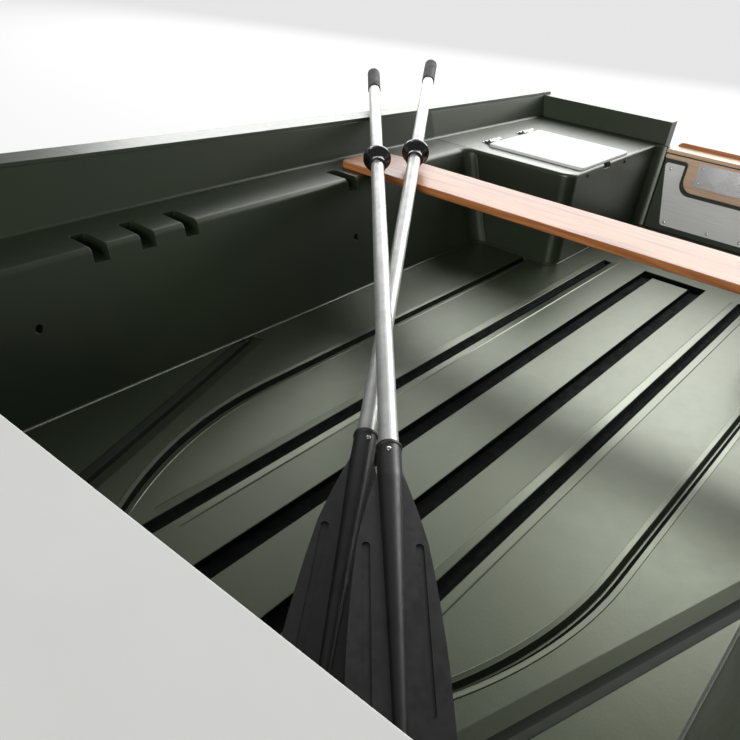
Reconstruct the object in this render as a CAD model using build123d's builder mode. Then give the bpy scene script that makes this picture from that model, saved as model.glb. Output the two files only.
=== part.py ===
from build123d import *
from math import atan2, cos, degrees, radians, sin, sqrt, tan
import os

# Open rowing boat with a double-skinned hull, a moulded inner liner, lockers and a pair of oars.
# Millimetres. +X runs forward to the bow, +Y to port, +Z up. The origin is on the ground under the
# middle of the keel. The hull is a thin outer skin, and the liner pieces fill it up to the inside.

# Overall
x_stern = -2200.0            # transom's outer face at the height transom_ref_z
transom_ref_z = 380.0
transom_rake = 10.0          # degrees, leaning aft towards the top
transom_thick = 44.0
skin = 6.0                   # outer moulding's wall
floor_z = 120.0              # top of the floor strips
ledge_z = 382.0              # top of the side ledges and of the stern lockers
sheer_radius = 52000.0       # the gunwale line in side view is one long arc
sheer_low_x = -2480.0
sheer_low_z = 449.0
top_z = 760.0                # above everything that is cut to the sheer
wide = 1200.0                # half width of cutting blocks
far_aft = -2700.0            # their ends beyond the boat
far_fwd = 2600.0
far_low = -100.0
far_high = 1500.0
rest_gap = 0.3               # between pieces that rest on each other
keel_flat = 60.0             # half width of the flat along the keel

# Hull sections: x, half beam at the sheer, half width at the chine, chine height, keel height,
# chine radius
HULL_STATIONS = [
    (-2290.0, 742.0, 640.0, 82.0, 30.0, 45.0),
    (-1300.0, 822.0, 690.0, 82.0, 26.0, 45.0),
    (-350.0, 850.0, 705.0, 84.0, 26.0, 45.0),
    (550.0, 808.0, 645.0, 104.0, 28.0, 45.0),
    (1300.0, 632.0, 445.0, 176.0, 56.0, 40.0),
    (1850.0, 335.0, 165.0, 330.0, 185.0, 25.0),
    (2190.0, 36.0, 26.0, 575.0, 535.0, 6.0),
]

# Cockpit
x_locker = -1540.0           # front face of the stern lockers
x_bulkhead = 1150.0          # aft face of the bow locker
x_narrow = 500.0             # where the cockpit begins to narrow
floor_half = 550.0           # at the foot of the side walls
floor_half_fwd = 200.0
ledge_half = 630.0           # front edge of the side ledge
ledge_half_fwd = 430.0
crease_half = 768.0          # back of the ledge at the widest place
crease_half_aft = 702.0
crease_half_bow = 70.0
crease_x_aft = -2340.0
crease_x_wide_aft = -450.0
crease_x_wide_fwd = -200.0
crease_x_bow = 1990.0
wall_lean = 0.30             # the gunwale's inner wall leans out this much for each unit of height
well_half = 287.0            # half width of the well between the stern lockers
well_cut = 900.0             # how far forward of the transom the well is cut
corner_r = 35.0              # upright corners of the lockers and of the cockpit
ledge_round = 14.0           # front edge of the side ledges
ledge_cove = 8.0             # between the ledge and the gunwale's inner wall
locker_round = 8.0           # top edge of the stern lockers

# Floor relief: raised strips with channels between them
channel_in = 51.0            # channels beside the middle strip, inner and outer edge
channel_out = 89.0
channel_depth = 16.0
strip_out = 197.0            # outer edge of the next strips
valley_foot = 2.0            # half width of the flat bottom of the V-shaped grooves
strip_valley_half = 14.0     # grooves beside the next strips
strip_valley_depth = 10.0
x_channels_aft = -1710.0
x_channels_fwd = 60.0
tongue_half = 375.0          # groove round the long tongue that narrows forward
tongue_valley_half = 9.0
tongue_valley_depth = 9.0
tongue_x = -500.0
tongue_tip_x = -60.0
tongue_tip_y = 243.0
tongue_end_x = -73.8         # where the groove has turned back beside the strip
swage_foot = 34.0            # soft step that crosses the floor forward, its long and its short side
swage_riser = 12.0
swage_flat = 0.5
swage_depth = 6.0
swage_fwd_y = 294.5          # where it meets the middle bench
swage_aft = (-620.0, 549.5)  # where it meets the side wall

# Notches in the ledges for the thwart's feet
notch_w = 34.0
notch_deep = 75.0
notch_high = 28.0
notch_open = 30.0            # how far the cut runs out in front of the ledge
notch_corner = 5.0
notch_pitch = 105.0
NOTCH_GROUPS_X = [-317.0, -1028.0]   # first notch of each group, the others follow aft
notches_per_group = 3
wall_hole_r = 7.5
wall_hole_deep = 14.0
WALL_HOLES = [(-165.0, 275.0), (-1010.0, 246.0)]    # x, z

# Thwart
thwart_x = -1157.5
thwart_w = 161.0
thwart_thick = 18.0
thwart_half = 712.0
thwart_corner = 12.0
thwart_edge = 2.5

# Lockers, bench and lids
panel = 8.0                  # wall of the moulded boxes
lid_thick = 8.0
lid_x_fwd = -1610.0
lid_x_aft = -1920.0
lid_y_in = well_half + 5.0
lid_y_out = 602.0
lid_lip = 18.0               # how far a lid lies on the edge of its opening
lid_corner = 14.0
lid_round = 3.0
lid_mid_x = (lid_x_fwd + lid_x_aft) / 2      # the finger slots lie here too
finger_w = 42.0              # finger slots under the inboard edges of the stern lids
finger_deep = 12.0
finger_high = 15.0
locker_x_aft = -2060.0
locker_y_out = 560.0
locker_hole_inset = 2.0      # the lid's opening ends this far inside the locker's outer wall
bench_x_aft = 120.0
bench_x_fwd = 492.0
bench_lid_x_aft = 85.0
bench_lid_x_fwd = 452.0
bench_lid_half = 440.0
bench_lid_thick = 14.0
bow_deck_z = 470.0
bow_lid_x_aft = 1195.0
bow_lid_x_fwd = 1530.0
bow_lid_half = 185.0
bow_locker_floor = 200.0
bow_locker_x_fwd = 1550.0
knuckle_r = 6.0
pin_r = 2.5
pin_gap = 0.08
knuckle_len = 30.0
hinge_reach = 12.0           # from a lid's edge to its hinge axis
hinge_inset = 55.0           # from a lid's side to the middle of its hinge
arm_over = 4.0               # the knuckle's arm goes this far into the lid
arm_thick = 5.0
hinge_side_len = 13.0        # each outer knuckle
hinge_play = 0.5             # between two knuckles
leaf_reach = 16.0            # from the hinge axis to the middle of the leaf
leaf_w = 18.0
leaf_thick = 2.0

# Gunwale rail
rail_out = 14.0
rail_down = 42.0
rail_cap = 8.0
rail_joint = 0.6             # open butt joints between its lengths
RAIL_JOINTS_X = [-1285.0, -400.0, 500.0, 1250.0]

# Keel and side keels
keel_w = 46.0
keel_x_aft = -2120.0
keel_block = 120.0           # its top inside the hull, where the hull cuts it
# underside from where it leaves the ground, over the forefoot and up the stem; then back inside the hull
KEEL_RISE = [(900.0, 0.0), (1850.0, 150.0), (2168.0, 480.0)]
KEEL_INSIDE = [(2080.0, 520.0), (1800.0, 300.0), (1300.0, 150.0), (900.0, 120.0)]
side_keel_y = 400.0
side_keel_w = 50.0
side_keel_draft = 16.0       # degrees, sides widen towards the hull
side_keel_x_aft = -2060.0
side_keel_x_fwd = 500.0
side_keel_block = 110.0
side_keel_run = 320.0        # its front end curves up over this length
side_keel_end_z = 70.0

# Transom: cut-out for a motor, wooden pads inside and outside, inner metal plate, clamp plate and cap
cutout_half = 268.0
cutout_z = 365.0
cutout_corner = 12.0
pad_half = 172.0
pad_low_z = 257.0
pad_corner = 38.0
pad_thick = 18.0
pad_edge = 3.0
pad_gap = 13.0               # dark gap between the pad and the plate round it
strip_half = 250.0           # the pad's wider top
strip_low_z = 345.0
strip_high_z = 359.0
strip_corner = 6.0
plate_half_top = 249.0
plate_half_low = 205.0
plate_low_z = 140.0
plate_high_z = 334.0
plate_corner = 12.0
plate_thick = 2.0
clamp_half = 137.0
clamp_low_z = 284.0
clamp_high_z = 354.0
clamp_thick = 3.0
clamp_corner = 6.0
cap_thick = 12.0
cap_reach = 4.0              # over the inner pad's face
cap_half = 250.0
cap_round = 3.0
cap_end_round = 1.5
outer_pad_half = 244.0
outer_pad_low_z = 230.0
outer_pad_high_z = 390.0
outer_pad_corner = 20.0
drain_z = 70.0
drain_r = 20.0
drain_flange = 5.0
drain_nut_r = 11.0
drain_nut = 9.0

# Bow eye
eye_x = 2172.0
eye_z = 395.0
eye_r = 16.0
eye_rod = 5.0
eye_bore_r = 11.8            # the ring's inside has a narrow flat
eye_shank = 60.0
eye_shank_r = 8.0

# Rowlocks
rowlock_x = -200.0
rowlock_y = 817.0
socket_len = 90.0
socket_w = 36.0
socket_shift = 8.0           # the plate's middle lies this far outboard of the bore
socket_plate = 5.0
socket_tube_r = 9.5
socket_depth = 40.0
socket_corner = 10.0
socket_play = 0.3
socket_room = 6.0            # free depth under the socket's tube
shank_r = 6.35
shank_gap = 0.08
shank_past = 3.0             # how far the shank shows under the tube
shoulder_r = 10.0            # collar on which the rowlock turns
shoulder = 8.0
horn_lift = 3.0              # from the collar's underside to the horn's rod
horn_r = 27.0                # middle of the horn's bent rod
horn_rod_r = 6.0
horn_open = 100.0            # degrees left open at the top

# Oars
oar_length = 2020.0
loom_gap = 0.1               # between the loom and what is pushed onto it
loom_r = 15.5
blade_len = 480.0            # tip to the end of the blade's socket
blade_plate = 6.0
blade_bore = 100.0           # how far the loom goes into the blade
# the blade's round rib, along and radius, from near the tip; then its socket round the loom
BLADE_RIB = [(40.0, 8.0), (300.0, 14.5)]
BLADE_RIB += [(415.0, loom_r + 3.0), (474.0, loom_r + 3.0), (476.0, loom_r + 4.5), (480.0, loom_r + 4.5)]
# half of the blade's edge, along and across, from its root to its tip
BLADE_EDGE = [(430.0, 18.0), (378.0, 32.0), (308.0, 47.5), (233.0, 55.0), (130.0, 61.0), (22.0, 62.0)]
slot_s_low = 70.0            # recessed slots in both faces of the blade
slot_s_high = 305.0
slot_y = 36.0
slot_w = 11.0
slot_deep = 2.3
collar_s = 1440.0            # middle of the collar, from the tip
# the collar from its blade side: ring, waist, dished cone and flange, along and over the loom
COLLAR = [(-32.0, 4.5), (-30.0, 6.0), (-23.0, 6.0), (-21.0, 3.5), (-12.0, 3.5), (4.0, 15.5),
          (6.0, 18.5), (12.0, 18.5), (14.0, 15.5)]
grip_len = 130.0
grip_r = loom_r + 2.5
grip_end = 6.0               # closed end and its bevel
LOWER_YAW = -146.46          # seen from above, from the tip to the handle
LOWER_TOUCH_Y = -486.6       # where it lies on the thwart's front edge
LOWER_TOUCH_S = 1329.1       # distance from the tip to that place
UPPER_YAW = -138.63
UPPER_PLAN = (-1308.4, -800.0)       # a point that it passes over
UPPER_TOUCH_X = -1285.0              # where it lies on the gunwale's inner edge
UPPER_TIP_S = 1772.8                 # distance from the tip to the first of these

os.makedirs("parts", exist_ok=True)


def sheer_z(x):
    return sheer_low_z + sheer_radius - sqrt(sheer_radius ** 2 - (x - sheer_low_x) ** 2)


def transom_x(z, offset=0.0):
    # offset is measured forward from the outer face, square to it
    return x_stern - (z - transom_ref_z) * tan(radians(transom_rake)) + offset / cos(radians(transom_rake))


def hull_form(inset):
    # The outer form, or the same form inside a wall of the given thickness, up to top_z
    with BuildPart() as form:
        for x, sheer_y, chine_y, chine_z, keel_z, chine_r in HULL_STATIONS:
            shift = 2.5 * inset if x == HULL_STATIONS[-1][0] else 0.0
            flare = (sheer_y - chine_y) / (sheer_z(x) - chine_z)
            top_y = chine_y + flare * (top_z - chine_z)
            flat = min(keel_flat, 0.6 * chine_y)
            half = [
                (flat - inset / 4, keel_z + inset),
                (chine_y - inset, chine_z + inset),
                (top_y - inset, top_z),
            ]
            with BuildSketch(Plane.YZ.offset(x - shift)):
                with BuildLine():
                    Polyline(*half, *[(-y, z) for y, z in reversed(half)], close=True)
                make_face()
                chines = vertices().group_by(Axis.Y)[1]
                fillet(chines, chine_r)
        loft()
    return form.part


def block(x0, x1, y0, y1, z0, z1):
    with BuildPart() as piece:
        with Locations(((x0 + x1) / 2, (y0 + y1) / 2, (z0 + z1) / 2)):
            Box(x1 - x0, y1 - y0, z1 - z0)
    return piece.part


def above_sheer(rise):
    # Everything above the gunwale line, moved up by rise
    with BuildPart() as piece:
        with BuildSketch(Plane.XZ):
            with BuildLine():
                arc = ThreePointArc(*[(x, sheer_z(x) + rise) for x in (far_aft, 0.0, far_fwd)])
                Polyline(arc @ 1, (far_fwd, far_high), (far_aft, far_high), arc @ 0)
            make_face()
        extrude(amount=wide, both=True)
    return piece.part


def transom_slab(near, far):
    # Between two planes parallel to the transom's outer face, given forward of it
    with BuildPart() as piece:
        with BuildSketch(Plane.XZ):
            with BuildLine():
                Polyline(
                    (transom_x(far_low, near), far_low),
                    (transom_x(far_high, near), far_high),
                    (transom_x(far_high, far), far_high),
                    (transom_x(far_low, far), far_low),
                    close=True,
                )
            make_face()
        extrude(amount=wide, both=True)
    return piece.part


def transom_plane(z, offset):
    # On the transom's face or at an offset forward of it, with its Y axis up the slope
    rake = radians(transom_rake)
    return Plane(
        origin=(transom_x(z, offset), 0, z), x_dir=(0, 1, 0), z_dir=(cos(rake), 0, sin(rake))
    )


def cockpit_outline(half, half_fwd):
    with BuildSketch() as face:
        with BuildLine():
            Polyline((x_narrow, -half), (x_locker, -half), (x_locker, half), (x_narrow, half))
            TangentArc((x_narrow, half), (x_bulkhead, half_fwd), tangent=(1, 0))
            Line((x_bulkhead, half_fwd), (x_bulkhead, -half_fwd))
            TangentArc((x_narrow, -half), (x_bulkhead, -half_fwd), tangent=(1, 0))
        make_face()
    return face.sketch


def crease_outline(grow):
    aft, mid, bow = crease_half_aft + grow, crease_half + grow, crease_half_bow + grow
    with BuildSketch() as face:
        with BuildLine():
            Line((crease_x_aft, -aft), (crease_x_aft, aft))
            TangentArc((crease_x_wide_aft, mid), (crease_x_aft, aft), tangent=(-1, 0))
            Line((crease_x_wide_aft, mid), (crease_x_wide_fwd, mid))
            TangentArc((crease_x_wide_fwd, mid), (crease_x_bow, bow), tangent=(1, 0))
            Line((crease_x_bow, bow), (crease_x_bow, -bow))
            TangentArc((crease_x_wide_fwd, -mid), (crease_x_bow, -bow), tangent=(1, 0))
            Line((crease_x_wide_aft, -mid), (crease_x_wide_fwd, -mid))
            TangentArc((crease_x_wide_aft, -mid), (crease_x_aft, -aft), tangent=(-1, 0))
        make_face()
    return face.sketch


aft_cut = transom_slab(-well_cut, transom_thick)
over_sheer = above_sheer(0.0)
hull_outer = hull_form(0.0) - over_sheer
hull_core = hull_form(skin)
liner = hull_core - over_sheer - aft_cut

# Cockpit below and above the ledges
with BuildPart() as lower_space:
    with BuildSketch(Plane.XY.offset(floor_z)):
        add(cockpit_outline(floor_half, floor_half_fwd))
    with BuildSketch(Plane.XY.offset(ledge_z)):
        add(cockpit_outline(ledge_half, ledge_half_fwd))
    loft(ruled=True)
    uprights = lower_space.edges().filter_by(
        lambda e: e.center().X < x_locker + 1 and abs(e.center().Z - (floor_z + ledge_z) / 2) < 1
    )
    fillet(uprights, corner_r)

with BuildPart() as upper_space:
    with BuildSketch(Plane.XY.offset(ledge_z)):
        add(crease_outline(0.0))
    with BuildSketch(Plane.XY.offset(top_z + 40)):
        add(crease_outline(wall_lean * (top_z + 40 - ledge_z)))
    loft(ruled=True)


def finish(piece, name):
    piece.label = name
    export_step(piece, f"parts/{name}.step")


# Outer skin
with BuildPart() as hull_shell:
    add(hull_outer - hull_core - aft_cut)
finish(hull_shell.part, "hull_shell")

# Transom with the cut-out for a motor
with BuildPart() as transom:
    add(hull_outer & transom_slab(0.0, transom_thick))
    with BuildSketch(Plane.YZ.offset(x_stern)):
        with Locations((0, (cutout_z + far_high) / 2)):
            RectangleRounded(2 * cutout_half, far_high - cutout_z, cutout_corner)
    extrude(amount=top_z, both=True, mode=Mode.SUBTRACT)
finish(transom.part, "transom")

# Floor with raised strips, channels and V-shaped grooves
def valley(half, foot, depth, other=None):
    # Outline of a groove's cutter, across and up, from a little above the floor
    other = half if other is None else other
    lift = 1.0
    Polyline(
        (-half - lift * (half - foot) / depth, lift),
        (-foot, -depth),
        (foot, -depth),
        (other + lift * (other - foot) / depth, lift),
        close=True,
    )


def groove_plane(x, y, along):
    # Square to a groove in the floor, with its X axis across and its Y axis up
    return Plane(origin=(x, y, floor_z), x_dir=(-along.Y, along.X, 0), z_dir=along)


with BuildPart() as port_grooves:
    with BuildLine() as tongue:
        Line((x_locker, tongue_half), (tongue_x, tongue_half))
        narrowing = TangentArc(
            (tongue_x, tongue_half), (tongue_tip_x, tongue_tip_y), tangent=(1, 0)
        )
        TangentArc(narrowing @ 1, (tongue_end_x, strip_out), tangent=narrowing % 1)
    for run in tongue.edges():
        start, along = run @ 0, run % 0
        with BuildSketch(groove_plane(start.X, start.Y, along)):
            with BuildLine():
                valley(tongue_valley_half, valley_foot, tongue_valley_depth)
            make_face()
        if run.geom_type == GeomType.LINE:
            extrude(amount=run.length)
        else:
            turn = (start - run.arc_center).cross(along)
            revolve(axis=Axis(run.arc_center, turn), revolution_arc=degrees(run.length / run.radius))
    with BuildSketch(groove_plane(x_channels_aft, strip_out, Vector(1, 0, 0))):
        with BuildLine():
            valley(strip_valley_half, valley_foot, strip_valley_depth)
        make_face()
    extrude(amount=tongue_end_x - x_channels_aft)

swage_run = Vector(*swage_aft) - Vector(bench_x_aft, swage_fwd_y)
with BuildPart() as port_swage:
    with BuildSketch(groove_plane(bench_x_aft, swage_fwd_y, swage_run.normalized())):
        with BuildLine():
            valley(swage_riser, swage_flat, swage_depth, swage_foot)
        make_face()
    extrude(amount=swage_run.length)

with BuildPart() as floor_pan:
    add(liner & block(far_aft, far_fwd, -wide, wide, far_low, floor_z))
    mid_y = (channel_in + channel_out) / 2
    mid_x = (x_channels_aft + x_channels_fwd) / 2
    with BuildSketch(Plane.XY.offset(floor_z)):
        with Locations((mid_x, mid_y), (mid_x, -mid_y)):
            Rectangle(x_channels_fwd - x_channels_aft, channel_out - channel_in)
        with Locations((x_channels_aft, 0)):
            Rectangle(channel_out - channel_in, 2 * channel_out)
    extrude(amount=-channel_depth, mode=Mode.SUBTRACT)
    for cutter in (port_grooves.part, port_swage.part):
        add(cutter, mode=Mode.SUBTRACT)
        add(mirror(cutter, about=Plane.XZ, mode=Mode.PRIVATE), mode=Mode.SUBTRACT)
finish(floor_pan.part, "floor_pan")

# Sides of the cockpit: wall, ledge with notches, and gunwale's inner wall
SIDES = {"port": 1, "starboard": -1}
socket_hole_r = socket_tube_r + socket_play
slope = atan2(rowlock_x - sheer_low_x, sheer_radius)


def half_of(side):
    y_low, y_high = sorted((0, side * wide))
    return block(far_aft, far_fwd, y_low, y_high, far_low, far_high)


def rowlock_plane(side):
    rail_top = sheer_z(rowlock_x) + rail_cap
    return Plane(
        origin=(rowlock_x, side * rowlock_y, rail_top),
        x_dir=(cos(slope), 0, sin(slope)),
        z_dir=(-sin(slope), 0, cos(slope)),
    )


for name, side in SIDES.items():
    with BuildPart() as bench_side:
        add(liner & half_of(side) & block(x_locker, x_bulkhead, -wide, wide, floor_z, far_high))
        add(lower_space.part, mode=Mode.SUBTRACT)
        add(upper_space.part, mode=Mode.SUBTRACT)
        along_ledge = bench_side.edges().filter_by(
            lambda e: abs(e.center().Z - ledge_z) < 0.5 and e.length > 300
        )
        front = along_ledge.filter_by(lambda e: abs(e.center().Y) < ledge_half + 1)
        back = along_ledge.filter_by(lambda e: abs(e.center().Y) > ledge_half + 1)
        fillet(front, ledge_round)
        fillet(back, ledge_cove)
        with BuildSketch(Plane.XY.offset(ledge_z - notch_high)):
            notch_y = side * (ledge_half + (notch_deep - notch_open) / 2)
            rows = [(x - index * notch_pitch, notch_y)
                    for x in NOTCH_GROUPS_X for index in range(notches_per_group)]
            with Locations(*rows):
                RectangleRounded(notch_w, notch_deep + notch_open, notch_corner)
        extrude(amount=2 * notch_high, mode=Mode.SUBTRACT)
        for x, z in WALL_HOLES:
            wall_y = floor_half + (ledge_half - floor_half) * (z - floor_z) / (ledge_z - floor_z)
            with Locations(Location((x, side * wall_y, z), (90, 0, 0))):
                Cylinder(wall_hole_r, 2 * wall_hole_deep, mode=Mode.SUBTRACT)
        with BuildSketch(rowlock_plane(side)):
            Circle(socket_hole_r)
        extrude(amount=-socket_depth - socket_room, mode=Mode.SUBTRACT)
    finish(bench_side.part, f"side_bench_{name}")

# Stern lockers, with a well between them whose aft corners are rounded where they meet the transom
with BuildPart() as well:
    with BuildSketch(Plane(
        origin=(transom_x(0.0, transom_thick), 0, 0),
        x_dir=(0, 1, 0),
        z_dir=(-sin(radians(transom_rake)), 0, cos(radians(transom_rake))),
    )):
        with Locations((0, -well_cut / 2)):
            RectangleRounded(2 * well_half, well_cut, corner_r)
    extrude(amount=far_high, both=True)

for name, side in SIDES.items():
    with BuildPart() as locker:
        add(liner & half_of(side) & block(far_aft, x_locker, -wide, wide, floor_z, far_high))
        add(upper_space.part, mode=Mode.SUBTRACT)
        add(well.part, mode=Mode.SUBTRACT)
        corner = locker.edges().filter_by(Axis.Z).filter_by(
            lambda e: abs(abs(e.center().Y) - well_half) < 1 and abs(e.center().X - x_locker) < 1
        )
        fillet(corner, corner_r)
        rim = locker.edges().filter_by(
            lambda e: abs(e.center().Z - ledge_z) < 0.5 and (
                abs(abs(e.center().Y) - well_half) < 15 or abs(e.center().X - x_locker) < 12)
        )
        fillet(rim, locker_round)
        with BuildSketch(Plane.XY.offset(ledge_z - finger_high)):
            with Locations((lid_mid_x, side * well_half)):
                RectangleRounded(finger_w, 2 * finger_deep, notch_corner)
        extrude(amount=2 * finger_high, mode=Mode.SUBTRACT)
        y_in, y_out = sorted((side * (well_half + 2 * panel), side * locker_y_out))
        add(block(locker_x_aft, x_locker - panel, y_in, y_out, floor_z + panel, ledge_z - panel),
            mode=Mode.SUBTRACT)
        y_in, y_out = sorted((side * (lid_y_in + lid_lip), side * (locker_y_out - locker_hole_inset)))
        add(block(lid_x_aft + lid_lip, lid_x_fwd - lid_lip, y_in, y_out, ledge_z - 2 * panel, ledge_z + panel),
            mode=Mode.SUBTRACT)
    finish(locker.part, f"stern_locker_{name}")

# Bow locker with its deck
with BuildPart() as bow_locker:
    add(liner & block(x_bulkhead, far_fwd, -wide, wide, floor_z, far_high))
    above_deck = block(x_bulkhead - panel, far_fwd, -wide, wide, bow_deck_z, far_high)
    add(upper_space.part & above_deck, mode=Mode.SUBTRACT)
    add(
        block(x_bulkhead + panel, bow_locker_x_fwd, -bow_lid_half, bow_lid_half, bow_locker_floor,
              bow_deck_z - panel),
        mode=Mode.SUBTRACT,
    )
    add(
        block(bow_lid_x_aft + lid_lip, bow_lid_x_fwd - lid_lip, -bow_lid_half + lid_lip,
              bow_lid_half - lid_lip, bow_deck_z - 2 * panel, bow_deck_z + panel),
        mode=Mode.SUBTRACT,
    )
finish(bow_locker.part, "bow_locker")

# Middle bench box
with BuildPart() as middle_bench:
    add(lower_space.part & block(bench_x_aft, bench_x_fwd, -wide, wide, floor_z, ledge_z))
    add(
        block(bench_x_aft + panel, bench_x_fwd - panel, -floor_half + 2 * panel, floor_half - 2 * panel,
              floor_z + panel, ledge_z - panel),
        mode=Mode.SUBTRACT,
    )
    add(
        block(bench_x_aft + lid_lip, bench_lid_x_fwd - lid_lip, -bench_lid_half + lid_lip,
              bench_lid_half - lid_lip, ledge_z - 2 * panel, ledge_z + panel),
        mode=Mode.SUBTRACT,
    )
finish(middle_bench.part, "middle_bench")

# Thwart
with BuildPart() as thwart:
    with BuildSketch(Plane.XY.offset(ledge_z)):
        with Locations((thwart_x, 0)):
            RectangleRounded(thwart_w, 2 * thwart_half, thwart_corner)
    extrude(amount=thwart_thick)
    fillet(thwart.faces().sort_by(Axis.Z)[-1].edges(), thwart_edge)
    fillet(thwart.faces().sort_by(Axis.Z)[0].edges(), thwart_edge)
finish(thwart.part, "thwart")

# Gunwale rails: an outer strake and a cap over the edge
with BuildPart() as rails:
    add(hull_form(-rail_out) & above_sheer(-rail_down))
    add(above_sheer(rail_cap), mode=Mode.SUBTRACT)
    add(hull_outer, mode=Mode.SUBTRACT)
    add(upper_space.part, mode=Mode.SUBTRACT)
    add(transom_slab(-well_cut, 0.0), mode=Mode.SUBTRACT)
    for side in SIDES.values():
        with BuildSketch(rowlock_plane(side)):
            Circle(socket_hole_r)
        extrude(amount=-socket_depth, mode=Mode.SUBTRACT)
    for x in RAIL_JOINTS_X:
        with Locations((x, 0, sheer_z(x))):
            Box(rail_joint, 2 * wide, 4 * rail_down, mode=Mode.SUBTRACT)
for name, side in SIDES.items():
    with BuildPart() as rail:
        add(rails.part & half_of(side))
    finish(rail.part, f"gunwale_rail_{name}")

# Keel and the two side keels that the boat stands on
with BuildPart() as keel:
    with BuildSketch(Plane.XZ):
        with BuildLine():
            Polyline((keel_x_aft, keel_block), (keel_x_aft, 0), KEEL_RISE[0])
            rise = TangentArc(KEEL_RISE[0], KEEL_RISE[1], tangent=(1, 0))
            TangentArc(KEEL_RISE[1], KEEL_RISE[2], tangent=rise % 1)
            Polyline(KEEL_RISE[2], *KEEL_INSIDE, (keel_x_aft, keel_block))
        make_face()
    extrude(amount=keel_w / 2, both=True)
    add(hull_outer, mode=Mode.SUBTRACT)
finish(keel.part, "keel")

for name, side in SIDES.items():
    with BuildPart() as side_keel:
        with BuildSketch(Plane.XZ):
            with BuildLine():
                turn_x = side_keel_x_fwd - side_keel_run
                Polyline((side_keel_x_aft, side_keel_block), (side_keel_x_aft, 0), (turn_x, 0))
                nose = TangentArc((turn_x, 0), (side_keel_x_fwd, side_keel_end_z), tangent=(1, 0))
                Polyline(nose @ 1, (side_keel_x_fwd, side_keel_block), (side_keel_x_aft, side_keel_block))
            make_face()
        extrude(amount=wide, both=True)
        root_half = side_keel_w / 2 + side_keel_block * tan(radians(side_keel_draft))
        with BuildSketch(Plane.YZ.offset(far_aft)):
            with BuildLine():
                Polyline(
                    (side * side_keel_y - side_keel_w / 2, 0),
                    (side * side_keel_y + side_keel_w / 2, 0),
                    (side * side_keel_y + root_half, side_keel_block),
                    (side * side_keel_y - root_half, side_keel_block),
                    close=True,
                )
            make_face()
        extrude(amount=far_fwd - far_aft, mode=Mode.INTERSECT)
        add(hull_outer, mode=Mode.SUBTRACT)
    finish(side_keel.part, f"side_keel_{name}")


# Lids: the hinge axis is the plane's X axis, raised by knuckle_r + rest_gap, and the lid lies along +Y
def hinge_spots(width):
    return (hinge_inset - width / 2, width / 2 - hinge_inset)


def lid_piece(plane, width, depth, thick, round_r):
    axis_z = knuckle_r + rest_gap
    with BuildPart() as lid:
        with BuildSketch(plane.offset(rest_gap)):
            with Locations((0, hinge_reach + depth / 2)):
                RectangleRounded(width, depth, lid_corner)
        extrude(amount=thick)
        top = lid.faces().sort_by(Axis.Z)[-1]
        fillet(top.edges(), round_r)
        for x in hinge_spots(width):
            start = plane * Plane(origin=(x - knuckle_len / 2, 0, axis_z), z_dir=(1, 0, 0), x_dir=(0, 1, 0))
            with BuildSketch(start):
                Circle(knuckle_r)
                with Locations(((hinge_reach + arm_over) / 2, 0)):
                    Rectangle(hinge_reach + arm_over, arm_thick)
            extrude(amount=knuckle_len)
            with BuildSketch(start):
                Circle(pin_r + pin_gap)
            extrude(amount=knuckle_len, mode=Mode.SUBTRACT)
    return lid.part


def hinge_piece(plane, width):
    # Two leaves with outer knuckles and their pins
    axis_z = knuckle_r + rest_gap
    reach = knuckle_len / 2 + hinge_play + hinge_side_len
    with BuildPart() as hinge:
        for x in hinge_spots(width):
            with BuildSketch(plane):
                with Locations((x, -leaf_reach)):
                    Rectangle(2 * reach, leaf_w)
            extrude(amount=leaf_thick)
            for end in (-reach, knuckle_len / 2 + hinge_play):
                start = plane * Plane(origin=(x + end, 0, axis_z), z_dir=(1, 0, 0), x_dir=(0, 1, 0))
                with BuildSketch(start):
                    Circle(knuckle_r)
                    with Locations((-leaf_reach / 2, -axis_z / 2)):
                        Rectangle(leaf_reach, axis_z)
                extrude(amount=hinge_side_len)
            start = plane * Plane(origin=(x - reach, 0, axis_z), z_dir=(1, 0, 0), x_dir=(0, 1, 0))
            with BuildSketch(start):
                Circle(pin_r)
            extrude(amount=2 * reach)
    return hinge.part


# name, plane at the hinge line on the moulding's top, width along the hinge, depth, thickness
hinge_y = lid_y_out + hinge_reach
LIDS = [
    ("stern_lid_port", "stern_hinge_port",
     Plane(origin=(lid_mid_x, hinge_y, ledge_z), x_dir=(-1, 0, 0), z_dir=(0, 0, 1)),
     lid_x_fwd - lid_x_aft, lid_y_out - lid_y_in, lid_thick),
    ("stern_lid_starboard", "stern_hinge_starboard",
     Plane(origin=(lid_mid_x, -hinge_y, ledge_z), x_dir=(1, 0, 0), z_dir=(0, 0, 1)),
     lid_x_fwd - lid_x_aft, lid_y_out - lid_y_in, lid_thick),
    ("bench_lid", "bench_hinge",
     Plane(origin=(bench_lid_x_fwd + hinge_reach, 0, ledge_z), x_dir=(0, 1, 0), z_dir=(0, 0, 1)),
     2 * bench_lid_half, bench_lid_x_fwd - bench_lid_x_aft, bench_lid_thick),
    ("bow_lid", "bow_hinge",
     Plane(origin=(bow_lid_x_fwd + hinge_reach, 0, bow_deck_z), x_dir=(0, 1, 0), z_dir=(0, 0, 1)),
     2 * bow_lid_half, bow_lid_x_fwd - bow_lid_x_aft, lid_thick),
]
for lid_name, hinge_name, plane, width, depth, thick in LIDS:
    finish(lid_piece(plane, width, depth, thick, lid_round), lid_name)
    finish(hinge_piece(plane, width), hinge_name)


# Pieces on the transom, placed on its inner and outer faces
up_slope = 1 / cos(radians(transom_rake))


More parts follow.
